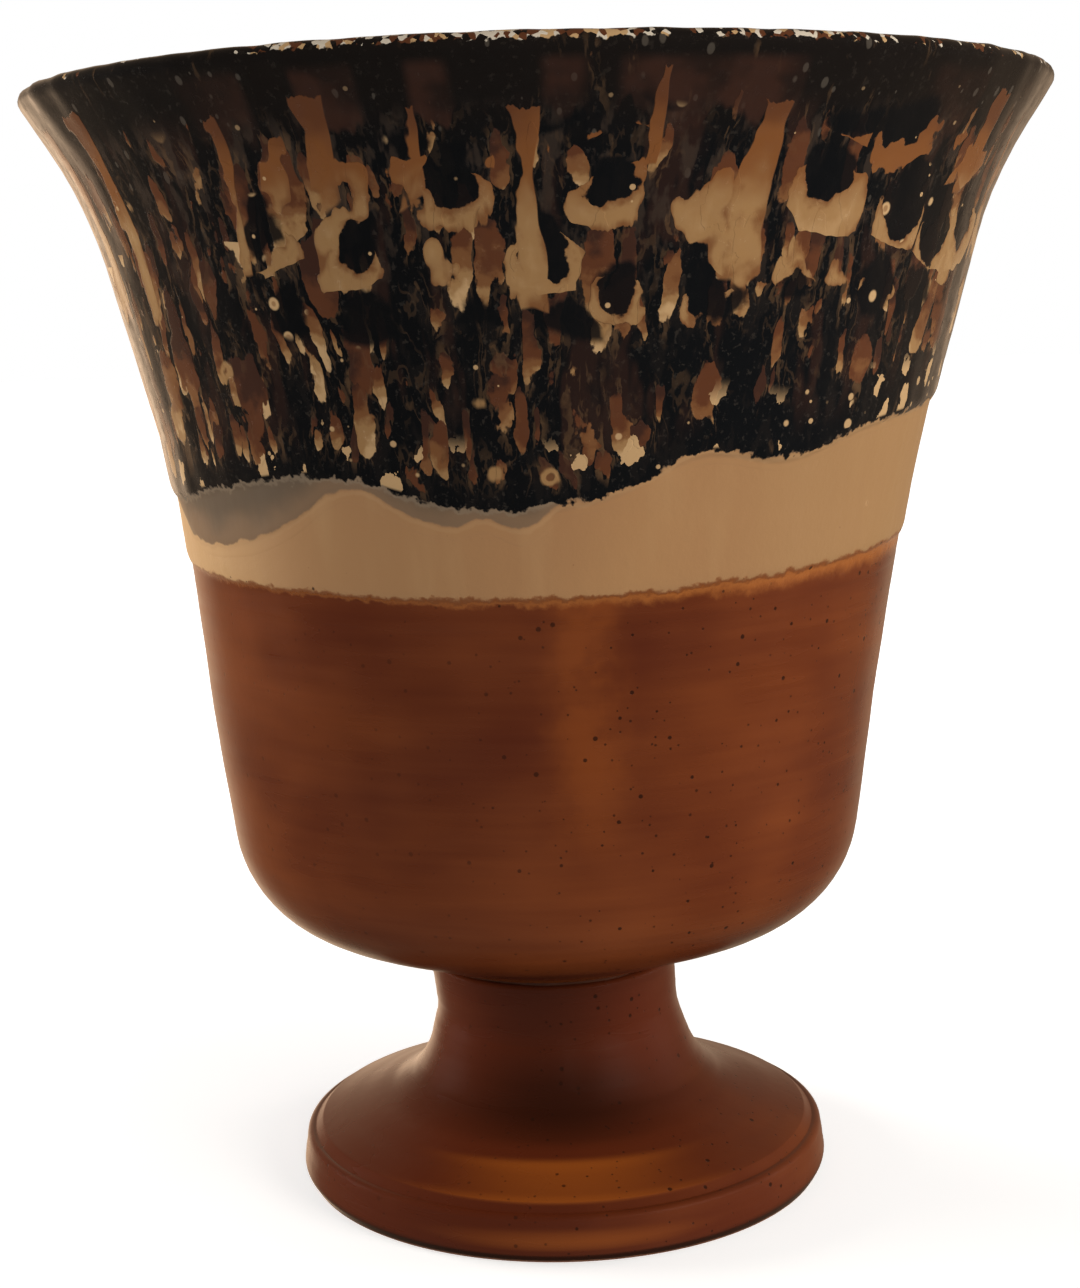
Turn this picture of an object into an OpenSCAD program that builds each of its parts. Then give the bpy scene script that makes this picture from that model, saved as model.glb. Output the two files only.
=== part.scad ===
// Siphon cup, also called a greedy cup or pythagorean cup. A thrown earthenware bowl is luted
// with slip to a short turned pedestal. A standpipe runs up through the pedestal and the bowl's
// floor, and a hollow column stands over it. Filled past the incised line, the bowl empties
// itself: the drink enters the port at the column's base, spills into the pipe and runs out.
// Millimetres, +Z up. The origin is the centre of the foot ring, on the table. The front is -Y.

/* [Bowl] */
// Height from the table to the top of the glazed rim
cup_h = 100; // [90:1:120]
// Outside diameter of the glazed rim
rim_d = 90; // [84:1:104]
// Thickness of the clay at the lip
lip_t = 2.6; // [2.2:0.1:3.4]
// Lean of the turned-out lip from upright, in degrees
lip_lean = 33; // [26:1:36]
// Length of the turned-out lip, from the sharp corner where it turns to its top edge
lip_len = 9.5; // [8:0.1:11]
// Radius of that turn
lip_turn = 35; // [20:1:40]
// Radius of the lip's outer edge
lip_edge = 0.4; // [0.2:0.1:0.6]
// Radius of the lip's inner edge
lip_inner_edge = 1.6; // [1:0.1:2]
// Thickness of the clay wall just above the heel
wall_low = 4.5; // [3.5:0.1:6]
// Thickness of the bowl's floor on the axis
floor_t = 6.5; // [6:0.1:9]
// Diameter of the flat boss under the bowl that meets the stem
joint_d = 23.5; // [22:0.5:28]
// Diameter at which the underside and the wall would meet in a sharp corner
heel_d = 56.2; // [52:0.2:62]
// Height of that corner above the boss
heel_rise = 6.2; // [5:0.1:9]
// Radius of the rounded heel
heel_round = 11; // [7:0.5:13]
// Diameter at which the straight wall and the flare would meet in a sharp corner
flare_d = 66.4; // [63:0.2:69]
// Depth of that corner below the rim
flare_drop = 31.5; // [26:0.5:36]
// Radius of the flare
flare_round = 135; // [60:5:160]
// Depth of the fill line incised around the inside
line_depth = 0.5; // [0.3:0.1:0.8]

/* [Pedestal] */
// Height of the pedestal, from the table to the top of the stem
pedestal_h = 20.4; // [18:0.2:26]
// Diameter of the stem's top face
stem_top_d = 23; // [20:0.2:26]
// Diameter of the stem at its waist
stem_waist_d = 22.6; // [18:0.2:25]
// Depth of the waist below the stem's top
stem_waist_drop = 5; // [3:0.5:7]
// Diameter at which the stem and the foot's upper slope would meet in a sharp corner
cove_d = 26.6; // [24:0.2:32]
// Height of that corner above the table
cove_h = 8.6; // [7.5:0.1:11]
// Radius of the cove between stem and foot
cove_round = 8; // [4:0.5:10]
// Greatest diameter of the foot's rolled edge
foot_d = 50; // [46:0.2:56]
// Height of the rolled edge's widest line above the table
roll_low = 1; // [0.6:0.1:2]
// Inward lean of the rolled edge over its height
roll_lean = 0.5; // [0:0.1:0.8]
// Width of the rolled edge, in to the thin ridge turned on the foot's upper slope
roll_w = 1.2; // [1:0.1:3]
// Height of that ridge above the table
ridge_h = 4.9; // [4.6:0.1:6]
// Step from the ridge down to the rolled edge
ridge_step = 0.7; // [0.4:0.1:1]
// Undercut of the rolled edge at the table
foot_undercut = 0.6; // [0.4:0.1:2]
// Width of the ring that the cup stands on
foot_ring_w = 4.5; // [3:0.1:6]
// Height of the hollow under the foot at its edge
hollow_edge_h = 3.2; // [2:0.1:4]
// Slope of that edge, as a width
hollow_draft = 2.4; // [1.5:0.1:4]
// Height of the hollow at the drain
hollow_h = 7.5; // [6:0.1:10]
// Diameter of the flat around the drain
hollow_top_d = 15; // [12:0.5:18]

/* [Siphon] */
// Outside diameter of the standpipe
pipe_d = 9; // [7.5:0.1:10]
// Bore of the standpipe, which is the drain
bore_d = 5; // [3.5:0.1:6]
// Height of the standpipe's top above the floor, which sets the fill line
spill_h = 41; // [30:0.5:46]
// Outside diameter of the column at the floor
column_base_d = 25; // [23:0.2:27]
// Outside diameter of the column below its dome
column_top_d = 19.4; // [18:0.2:22]
// Thickness of the column's clay
column_wall = 3; // [2:0.1:3.4]
// Room between the standpipe's top and the inside of the dome
crown_gap = 3; // [2:0.1:6]
// Radius of the dome's shoulder
crown_round = 7.5; // [5:0.5:9]
// Diameter of the inlet port through the column
port_d = 5; // [4:0.1:7]
// Height of the port's lower edge above the floor
port_sill = 1; // [0.6:0.1:2]

/* [Slip joints] */
// Thickness of the slip between stem and bowl
joint_slip_t = 0.4; // [0.2:0.1:1]
// Inset of that slip from the stem's top edge
joint_slip_inset = 0.5; // [0.2:0.1:1]
// Size of the slip fillet around the column and around the standpipe
fillet_size = 1.6; // [1:0.1:2]
// Thickness of a slip fillet's feathered edges
fillet_edge = 0.2; // [0.1:0.05:0.3]
// Clearance all round between the standpipe and the clay that it passes through
seat_clear = 0.1; // [0.05:0.05:0.2]
// Flat floor left around the column's fillet
floor_margin = 0.8; // [0.4:0.1:1.5]

/* [Glaze coats] */
// Thickness of the cream dip
cream_t = 0.3; // [0.2:0.05:0.5]
// Depth of the cream dip's edge below the rim, at the axis
cream_drop = 39.7; // [36:0.1:46]
// Tilt of that edge, lower at the front
cream_tilt = 3.2; // [0:0.1:6]
// Depth to which the cream dip runs down inside the lip
cream_inside = 10; // [6:0.5:14]
// Thickness of the mottled dip over the cream
mottled_t = 0.4; // [0.2:0.05:0.6]
// Depth of the mottled dip's edge below the rim, at the axis
mottled_drop = 31; // [26:0.1:33]
// Tilt of that edge, higher on the right
mottled_tilt = 5.5; // [0:0.1:7]
// Depth to which the mottled dip runs down inside the lip
mottled_inside = 7; // [4:0.5:12]

/* [Hidden] */
$fn = 96;
// Steps along each fillet
fillet_steps = 12;
// Margin by which a cutting body runs past what it cuts
past = 1;

// Levels of the bowl and the siphon
bowl_z = pedestal_h + joint_slip_t;
floor_z = bowl_z + floor_t;
spill_z = floor_z + spill_h;
crown_z = spill_z + crown_gap + column_wall;
port_z = floor_z + port_sill + port_d / 2;
coats_t = cream_t + mottled_t;
seat_d = pipe_d + 2 * seat_clear;

// Vectors
function unit(v) = v / norm(v);
function left_of(v) = [-v.y, v.x];
function polar(r, a) = [r * cos(a), r * sin(a)];
function between(a, b, f) = a + (b - a) * f;
function reversed(list) = [for (i = [len(list) - 1:-1:0]) list[i]];

// Points of a fillet of radius r in the corner p between its neighbours a and b
function fillet(a, p, b, r) =
    let (u = unit(a - p), v = unit(b - p))
    let (half = acos(u * v) / 2)
    let (back = min(r / tan(half), 0.98 * norm(a - p), 0.98 * norm(b - p)))
    let (radius = back * tan(half))
    let (centre = p + unit(u + v) * radius / sin(half))
    let (start = p + u * back - centre, stop = p + v * back - centre)
    let (from = atan2(start.y, start.x), turn = (atan2(stop.y, stop.x) - from + 540) % 360 - 180)
    [for (k = [0:fillet_steps]) centre + polar(radius, from + turn * k / fillet_steps)];

// Outline through corners [radius, height, fillet], with the ends left sharp
function outline(c) =
    let (p = [for (q = c) [q.x, q.y]])
    [for (i = [0:len(c) - 1])
        each i == 0 || i == len(c) - 1 || c[i].z == 0 ? [p[i]] : fillet(p[i - 1], p[i], p[i + 1], c[i].z)];

// Direction of an outline at point i
function heading(list, i) = unit(list[min(i + 1, len(list) - 1)] - list[max(i - 1, 0)]);

// Sharp corners of the bowl's outside. The lip leans out straight to its top, and the glazed
// rounding of its outer edge is the widest part of the cup
rim_z = cup_h - coats_t;
heel = [heel_d / 2, bowl_z + heel_rise];
flare = [flare_d / 2, rim_z - flare_drop];
edge_overhang = lip_edge * (tan(lip_lean) + 1 / cos(lip_lean) - 1);
lip_outer = [rim_d / 2 - coats_t + edge_overhang, rim_z];
lip_inner = lip_outer - [lip_t / cos(lip_lean), 0];
lip_run = polar(lip_len, 90 - lip_lean);
lip_foot = lip_outer - lip_run;

// Outside of the bowl from the boss to the lip, then the top of the lip between its two edges
to_lip = outline([
    [joint_d / 2, bowl_z, 0],
    [heel.x, heel.y, heel_round],
    [flare.x, flare.y, flare_round],
    [lip_foot.x, lip_foot.y, lip_turn],
    [lip_outer.x, lip_outer.y, 0]
]);
outside = [for (i = [0:len(to_lip) - 2]) to_lip[i]];
lip = concat(
    fillet(lip_foot, lip_outer, lip_inner, lip_edge),
    fillet(lip_outer, lip_inner, lip_inner - lip_run, lip_inner_edge)
);

// Inside of the bowl, whose wall thins towards the lip
function wall_at(z) = lookup(z, [[heel.y, wall_low], [lip_foot.y, lip_t]]);
inside = [for (i = [0:len(outside) - 1]) outside[i] + wall_at(outside[i].y) * left_of(heading(to_lip, i))];
floor_r = column_base_d / 2 + fillet_size + fillet_edge + floor_margin;
lip_end = lip[len(lip) - 1];
inside_wall = [for (p = inside) if (p.x > floor_r && p.y > floor_z && p.y < lip_end.y) p];
function inside_r(z) = lookup(z, [for (p = inside_wall) [p.y, p.x]]);

// The whole skin that the dips cover, from the straight wall up, over the lip and down inside
wall_start = 1 + fillet_steps;
covered = [for (i = [wall_start:len(outside) - 1]) outside[i]];
skin = concat(covered, lip, reversed(inside_wall));
function lifted(i, t) = skin[i] - t * left_of(heading(skin, i));

// Section of a coat between two distances from the clay, ending inside at depth below the rim
function coat_section(low, high, depth) =
    let (end_z = rim_z - depth, over = len(covered) + fillet_steps + 1)
    let (last = [for (i = [over:len(skin) - 2]) if (skin[i].y >= end_z && skin[i + 1].y < end_z) i][0])
    let (f = (skin[last].y - end_z) / (skin[last].y - skin[last + 1].y))
    concat(
        [for (i = [0:last]) lifted(i, low)],
        [between(lifted(last, low), lifted(last + 1, low), f)],
        [between(lifted(last, high), lifted(last + 1, high), f)],
        [for (i = [last:-1:0]) lifted(i, high)]
    );

module coat(low, high, depth, edge_drop, tilt) {
    difference() {
        rotate_extrude() polygon(coat_section(low, high, depth));
        // everything below the dip's tilted edge
        translate([0, 0, cup_h - edge_drop])
            rotate(tilt)
            translate([-rim_d, -rim_d, -cup_h])
            cube([2 * rim_d, 2 * rim_d, cup_h]);
    }
}

// Concave ring of slip wiped into the corner between an upright of radius r and the floor
module slip_fillet(r) {
    reach = fillet_size + fillet_edge;
    rotate_extrude() polygon(concat(
        [[r, floor_z], [r + reach, floor_z]],
        [for (a = [270:-15:180]) [r + reach, floor_z + reach] + polar(fillet_size, a)],
        [[r, floor_z + reach]]
    ));
}

module port() {
    translate([0, 0, port_z])
        rotate([90, 0, 0])
        cylinder(d = port_d, h = column_base_d);
}

module pipe_hole(from_z, to_z) {
    translate([0, 0, from_z - past])
        cylinder(d = seat_d, h = to_z - from_z + 2 * past);
}

module bowl() {
    color("sienna") difference() {
        rotate_extrude() polygon(concat(
            [[0, bowl_z]],
            outside,
            lip,
            reversed(inside_wall),
            [[floor_r, floor_z], [0, floor_z]]
        ));
        pipe_hole(bowl_z, floor_z);
        // fill line, level with the top of the standpipe
        rotate_extrude() translate([inside_r(spill_z), spill_z]) circle(line_depth);
    }
}

module pedestal() {
    ring_r = foot_d / 2 - foot_undercut;
    hollow_r = ring_r - foot_ring_w;
    roll_r = foot_d / 2 - roll_w;
    roll_h = ridge_h - ridge_step;
    outer = outline([
        [ring_r, 0, 0],
        [foot_d / 2, roll_low, roll_low],
        [foot_d / 2 - roll_lean, roll_h, roll_w],
        [roll_r, roll_h, ridge_step / 3],
        [roll_r - ridge_step, ridge_h, ridge_step / 2],
        [cove_d / 2, cove_h, cove_round],
        [stem_waist_d / 2, pedestal_h - stem_waist_drop, stem_waist_drop],
        [stem_top_d / 2, pedestal_h, 0]
    ]);
    hollow = outline([
        [hollow_r, 0, 0],
        [hollow_r - hollow_draft, hollow_edge_h, hollow_draft],
        [hollow_top_d / 2, hollow_h, hollow_draft],
        [0, hollow_h, 0]
    ]);
    color("saddlebrown") difference() {
        rotate_extrude() polygon(concat(outer, [[0, pedestal_h]], reversed(hollow)));
        pipe_hole(hollow_h, pedestal_h);
    }
}

module stem_slip() {
    color("maroon") translate([0, 0, pedestal_h]) difference() {
        cylinder(d = stem_top_d - 2 * joint_slip_inset, h = joint_slip_t);
        translate([0, 0, -past]) cylinder(d = seat_d, h = joint_slip_t + 2 * past);
    }
}

module standpipe() {
    color("peru") translate([0, 0, hollow_h]) difference() {
        cylinder(d = pipe_d, h = spill_z - hollow_h);
        translate([0, 0, -past]) cylinder(d = bore_d, h = spill_z - hollow_h + 2 * past);
    }
}

module standpipe_slip() {
    color("maroon") slip_fillet(seat_d / 2);
}

module siphon_column() {
    outer = outline([
        [column_base_d / 2, floor_z, 0],
        [column_top_d / 2, crown_z, crown_round],
        [0, crown_z, 0]
    ]);
    inner = outline([
        [column_base_d / 2 - column_wall, floor_z, 0],
        [column_top_d / 2 - column_wall, crown_z - column_wall, crown_round - column_wall],
        [0, crown_z - column_wall, 0]
    ]);
    color("chocolate") difference() {
        rotate_extrude() polygon(concat(outer, reversed(inner)));
        port();
    }
}

module column_slip() {
    color("maroon") difference() {
        slip_fillet(column_base_d / 2);
        port();
    }
}

module cream_coat() {
    color("tan") coat(0, cream_t, cream_inside, cream_drop, [cream_tilt, 0, 0]);
}

module mottled_coat() {
    color("darkslategray") coat(cream_t, coats_t, mottled_inside, mottled_drop, [0, -mottled_tilt, 0]);
}

bowl();
pedestal();
stem_slip();
standpipe();
standpipe_slip();
siphon_column();
column_slip();
cream_coat();
mottled_coat();
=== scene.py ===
import math
from functools import partial

import bmesh
import bpy
import numpy as np
from mathutils import Matrix, Vector
from numpy.linalg import norm


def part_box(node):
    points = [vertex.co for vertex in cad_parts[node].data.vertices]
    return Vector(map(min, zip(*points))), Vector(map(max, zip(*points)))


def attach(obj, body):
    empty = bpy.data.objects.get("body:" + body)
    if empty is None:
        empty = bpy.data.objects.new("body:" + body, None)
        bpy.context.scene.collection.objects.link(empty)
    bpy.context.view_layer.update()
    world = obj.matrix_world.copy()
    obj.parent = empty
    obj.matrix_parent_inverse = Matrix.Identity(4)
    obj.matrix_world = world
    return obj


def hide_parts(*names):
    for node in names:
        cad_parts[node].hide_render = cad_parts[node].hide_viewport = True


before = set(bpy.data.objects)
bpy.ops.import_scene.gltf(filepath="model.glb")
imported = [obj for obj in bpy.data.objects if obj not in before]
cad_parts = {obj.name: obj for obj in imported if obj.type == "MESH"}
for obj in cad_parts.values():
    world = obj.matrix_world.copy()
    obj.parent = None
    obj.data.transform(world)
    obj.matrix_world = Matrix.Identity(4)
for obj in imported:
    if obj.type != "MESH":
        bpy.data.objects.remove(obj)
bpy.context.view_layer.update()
MM = 0.001


# Pedestal. Stem and foot are turned from one lump of red clay, with a thin ridge and a rolled
# edge cut on the foot. It is dipped in the iron-red glaze, which pools dark in the hollows and
# breaks to orange on the edges. The ring that stands on the table is wiped bare. The glaze's
# colour also carries painted light and shade: lighter in front where the light falls, painted
# shadow in the cove under the bowl and a painted contact shadow along the bottom of the roll.

pedestal_low, pedestal_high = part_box("pedestal")
FOOT_R = pedestal_high[0]
STEM_TOP_Z = pedestal_high[2]
STEM_TOP_R = 11.5 * MM
STEM_WAIST_R = 11.3 * MM
STEM_WAIST_DROP = 5.0 * MM
COVE = (13.3 * MM, 8.6 * MM, 8.0 * MM)
ROLL_W, ROLL_LOW, ROLL_LEAN = 1.2 * MM, 1.0 * MM, 0.5 * MM
RIDGE_Z, RIDGE_STEP = 4.9 * MM, 0.7 * MM
RIDGE_R = FOOT_R - ROLL_W - RIDGE_STEP
# How the glaze breaks on the foot, straight in front and round the rest: thin where positive,
# pooled where negative, at a radius inside the ridge and at a height on the roll in millimetres.
# Painted light and shade are in the same numbers: the front values are lighter on the slope's
# band, the roll and the ridge, where the light falls, with a painted highlight on the ridge, and
# darker in the cove, as painted shadow under the bowl; the bottom of the roll is darkest all
# round, a painted contact shadow.
SLOPE_GLAZE_AND_LIGHT = [
    (10.5, -0.33, -0.1), (11.7, -0.42, -0.15), (12.5, -0.65, -0.3), (14, -0.75, -0.42), (16, -0.5, -0.3),
    (17.2, -0.15, -0.15), (18.1, 0.3, -0.05), (18.8, 0.75, 0.05), (19.9, 0.6, 0.0), (22.2, 0.52, -0.05),
    (22.9, 0.7, 0.1),
]
ROLL_GLAZE_AND_LIGHT = [
    (0, -1.0, -1.0), (0.55, -0.95, -1.0), (0.9, 0.0, -0.6), (1.4, 0.4, -0.2), (1.9, 0.55, -0.08),
    (2.6, 0.45, -0.08), (3.4, 0.1, -0.12), (4.1, -0.2, -0.2), (4.5, -0.1, -0.1), (4.9, 0.6, 0.1),
]
UNDER_BREAK = -0.1
# How quickly the values in front, with their painted light and shade, give way to the others,
# as a power of the cosine
FRONT_POWER = 5
ROLL_ROUND, GROOVE_ROUND, RIDGE_ROUND = 0.6 * MM, 0.2 * MM, 0.4 * MM
STEM_EDGE_ROUND, RING_ROUND = 0.5 * MM, 0.5 * MM
RING_OUT_R, RING_IN_R = FOOT_R - 0.6 * MM, FOOT_R - 5.1 * MM
HOLLOW_EDGE = (RING_IN_R - 2.4 * MM, 3.2 * MM, 2.4 * MM)
HOLLOW_TOP = (7.5 * MM, 7.5 * MM, 2.4 * MM)
PIPE_HOLE_R = 4.6 * MM
BARE_BELOW_Z = 0.05 * MM
FOOT_STEP = 0.35 * MM
ARC_STEP = math.radians(6)
AROUND = 240
# How far the cup leans to the right of its axis, in millimetres at a height, and the radii between
# which the lean sets in, since the pipe in the middle stands straight
LEAN = [
    (0, 0.4), (10, 0.3), (16, 0.0), (21, -0.45), (30, -0.5), (45, -0.5), (58, -0.1), (70, 0.25), (100, 0.2),
]
STRAIGHT_R, LEANING_R = 4.8 * MM, 8.8 * MM


def outline(corners, step):
    """Points along a chain of corners (radius, height, fillet), about a step apart."""
    chain = [np.array(corners[0][:2])]
    for before, corner, after in zip(corners, corners[1:], corners[2:]):
        p = np.array(corner[:2])
        u, v = np.array(before[:2]) - p, np.array(after[:2]) - p
        long_u, long_v = norm(u), norm(v)
        u, v = u / long_u, v / long_v
        half = math.acos(np.clip(u @ v, -1, 1)) / 2
        longest = 0.98 * min(long_u, long_v)
        back = min(corner[2] / math.tan(half), longest)
        if back <= 0:
            chain.append(p)
            continue
        radius = back * math.tan(half)
        centre = p + (u + v) / norm(u + v) * radius / math.sin(half)
        start, stop = p + u * back - centre, p + v * back - centre
        from_angle = math.atan2(start[1], start[0])
        turn = (math.atan2(stop[1], stop[0]) - from_angle + math.pi) % (2 * math.pi) - math.pi
        for k in np.linspace(0, 1, 3 + int(abs(turn) / ARC_STEP)):
            angle = from_angle + turn * k
            chain.append(centre + radius * np.array([math.cos(angle), math.sin(angle)]))
    chain.append(np.array(corners[-1][:2]))
    points = [chain[0]]
    for a, b in zip(chain, chain[1:]):
        count = max(1, round(norm(b - a) / step))
        points += [a + (b - a) * k / count for k in range(1, count + 1)]
    return np.array(points)


def outward(path, closed=True):
    """Unit normals on the outer side of a path that runs up the outside."""
    if closed:
        along = np.roll(path, -1, axis=0) - np.roll(path, 1, axis=0)
    else:
        along = np.gradient(path, axis=0)
    along /= norm(along, axis=1)[:, None]
    return np.stack([along[:, 1], -along[:, 0]], axis=1)


def angles(count):
    """Angles round the axis, whose seam lies at the back."""
    return math.pi / 2 + np.arange(count) * 2 * math.pi / count


def placed(r, z, angle):
    """Points at a radius, height and angle, with the sideways lean that the thrower's hands left."""
    at, lean = zip(*LEAN)
    lean = np.interp(z / MM, at, lean) * np.interp(r, [STRAIGHT_R, LEANING_R], [0, 1])
    return np.stack([r * np.cos(angle) + lean * MM, r * np.sin(angle), z], axis=-1)


def turned(path, lift, closed=True, count=AROUND):
    """Rings of points for a path turned about the axis. lift(angle, height) stands off the skin."""
    angle = angles(count)[None, :]
    normal = outward(path, closed)
    off = lift(angle, path[:, 1:2]) * np.ones((len(path), count))
    r = path[:, 0:1] + normal[:, 0:1] * off
    z = path[:, 1:2] + normal[:, 1:2] * off
    return placed(r, z, angle * np.ones_like(r))


def add_mark(mesh, name, values):
    """A number at each point of a mesh, for its material to read."""
    values = np.ravel(values).astype(float)
    mesh.attributes.new(name, "FLOAT", "POINT").data.foreach_set("value", values)


def stood(name, data):
    """A new object in the scene."""
    made = bpy.data.objects.new(name, data)
    bpy.context.scene.collection.objects.link(made)
    return made


def skin(name, rings, marks={}, closed=True):
    """A smooth mesh through rings of points, closed on itself or ending in a pole at each end."""
    rows, count = rings.shape[:2]
    points = rings.reshape(-1, 3)
    i, j = np.meshgrid(np.arange(rows if closed else rows - 1), np.arange(count), indexing="ij")
    up, on = (i + 1) % rows, (j + 1) % count
    quads = np.stack([i * count + j, i * count + on, up * count + on, up * count + j], axis=-1)
    faces = quads.reshape(-1, 4).tolist()
    if not closed:
        first, last = len(points), len(points) + 1
        points = np.vstack([points, rings[0].mean(axis=0), rings[-1].mean(axis=0)])
        top = (rows - 1) * count
        faces += [[(k + 1) % count, k, first] for k in range(count)]
        faces += [[top + k, top + (k + 1) % count, last] for k in range(count)]
    mesh = bpy.data.meshes.new(name)
    mesh.from_pydata(points.tolist(), [], faces)
    mesh.polygons.foreach_set("use_smooth", [True] * len(faces))
    for label, values in marks.items():
        add_mark(mesh, label, np.broadcast_to(values, (rows, count)))
    if closed:
        step = norm(np.diff(np.vstack([rings[:, 0], rings[:1, 0]]), axis=0), axis=1)
        v = np.concatenate([[0], np.cumsum(step)]) / step.sum()
        corner_u = np.stack([j, j + 1, j + 1, j], axis=-1) / count
        corner_v = np.stack([v[i], v[i], v[i + 1], v[i + 1]], axis=-1)
        uv = mesh.uv_layers.new(name="OFBake")
        uv.data.foreach_set("uv", np.stack([corner_u, corner_v], axis=-1).ravel())
    mesh.update()
    return stood(name, mesh)


def put(tree, kind, inputs={}, **settings):
    """A new shader node. Each input is a value or another node's socket."""
    node = tree.nodes.new("ShaderNode" + kind)
    for key, value in settings.items():
        setattr(node, key, value)
    for key, value in inputs.items():
        if isinstance(value, bpy.types.NodeSocket):
            tree.links.new(value, node.inputs[key])
        else:
            node.inputs[key].default_value = value
    return node


def tree_of(*values):
    """The node tree that the first socket among some values belongs to."""
    return next(value for value in values if isinstance(value, bpy.types.NodeSocket)).id_data


def maths(operation, a, b=0.0, clamp=False):
    return put(tree_of(a, b), "Math", {0: a, 1: b}, operation=operation, use_clamp=clamp).outputs[0]


minus, over = partial(maths, "SUBTRACT"), partial(maths, "DIVIDE")
less, more = partial(maths, "LESS_THAN"), partial(maths, "GREATER_THAN")
least, most = partial(maths, "MINIMUM"), partial(maths, "MAXIMUM")


def plus(first, *others):
    for other in others:
        first = maths("ADD", first, other)
    return first


def times(first, *others):
    for other in others:
        first = maths("MULTIPLY", first, other)
    return first


def centred(value, depth):
    """A value from 0 to 1 as a swing of a depth, half of it each way."""
    return times(minus(value, 0.5), depth)


def ramp(value, low, high, to_low=0.0, to_high=1.0):
    """A smooth step from to_low to to_high as value goes from low to high."""
    sockets = {"Value": value, "From Min": low, "From Max": high, "To Min": to_low, "To Max": to_high}
    return put(value.id_data, "MapRange", sockets, interpolation_type="SMOOTHSTEP").outputs[0]


def tint(share, a, b):
    """Colour a turning to colour b."""
    colours = [c if isinstance(c, bpy.types.NodeSocket) else (*c, 1) for c in (a, b)]
    return put(share.id_data, "Mix", {0: share, 6: colours[0], 7: colours[1]}, data_type="RGBA").outputs[2]


def graded(value, tone, *steps):
    """A colour that turns to others one after another, each between two values."""
    for colour, *limits in steps:
        tone = tint(ramp(value, *limits), tone, colour)
    return tone


def noise(vector, size, detail=2.0, roughness=0.5, output=0):
    """Noise with features of a size in the vector's units."""
    inputs = {"Vector": vector, "Scale": 0.5 / size, "Detail": detail, "Roughness": roughness}
    return put(vector.id_data, "TexNoise", inputs).outputs[output]


def vectors(operation, a, b=(0, 0, 0)):
    return put(a.id_data, "VectorMath", {0: a, 1: b}, operation=operation).outputs[0]


moved = partial(vectors, "ADD")


def stretched(vector, x, y, z):
    return vectors("MULTIPLY", vector, (x, y, z))


def split(socket, kind="XYZ"):
    """The three numbers of a vector, or of a colour."""
    return put(socket.id_data, "Separate" + kind, {0: socket}).outputs


def node_group(name, ins, outs):
    """An empty shader group with its inputs and outputs, each a name and a kind."""
    tree = bpy.data.node_groups.new(name, "ShaderNodeTree")
    for way, sockets in (("INPUT", ins), ("OUTPUT", outs)):
        for label, kind in sockets.items():
            tree.interface.new_socket(label, in_out=way, socket_type="NodeSocket" + kind)
    return tree, tree.nodes.new("NodeGroupInput").outputs, tree.nodes.new("NodeGroupOutput").inputs


def give(outputs, **values):
    """Link values to the outputs of a group."""
    for label, value in values.items():
        value.id_data.links.new(value, outputs[label])


def use(tree, group, inputs={}):
    return put(tree, "Group", inputs, node_tree=group).outputs


# Places on the cup in millimetres: the point itself, its height, and the point pushed out to one
# radius, on which streaks follow the wall.
STREAK_R = 36.0
wheel, _, wheel_out = node_group(
    "Place on the wheel", {}, {"Point": "Vector", "Around": "Vector", "Height": "Float"}
)
place = stretched(put(wheel, "TexCoord").outputs["Object"], 1 / MM, 1 / MM, 1 / MM)
radial = vectors("NORMALIZE", stretched(place, 1, 1, 0))
around = moved(stretched(radial, STREAK_R, STREAK_R, STREAK_R), stretched(place, 0, 0, 1))
give(wheel_out, Point=place, Around=around, Height=split(place)[2])


def cells_in(vector, scale=1.0, uneven=1.0, **settings):
    """Cells about points strewn in space, and three chances that each cell has of its own."""
    inputs = {"Vector": vector, "Scale": scale, "Randomness": uneven}
    cells = put(vector.id_data, "TexVoronoi", inputs, **settings).outputs
    return cells, split(cells["Color"], "Color")


# Dots of one size range, one to a cell, in a share of the cells.
dots, dots_in, dots_out = node_group(
    "Dots",
    {"Vector": "Vector", "Spacing": "Float", "Radius": "Float", "Share": "Float"},
    {"Mask": "Float", "Middle": "Float"},
)
per_mm = over(1.0, dots_in["Spacing"])
cell = put(dots, "VectorMath", {0: dots_in["Vector"], "Scale": per_mm}, operation="SCALE").outputs[0]
cells, chance = cells_in(cell)
radius = times(dots_in["Radius"], ramp(chance[1], 0, 1, 0.35, 1.0))
from_middle = over(times(cells["Distance"], dots_in["Spacing"]), radius)
chosen = less(chance[0], dots_in["Share"])
give(
    dots_out,
    Mask=times(ramp(from_middle, 1.15, 0.8), chosen),
    Middle=times(ramp(from_middle, 0.6, 0.4), chosen),
)


def dotted(vector, spacing, radius, share):
    inputs = {"Vector": vector, "Spacing": spacing, "Radius": radius, "Share": share}
    return use(vector.id_data, dots, inputs)


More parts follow.
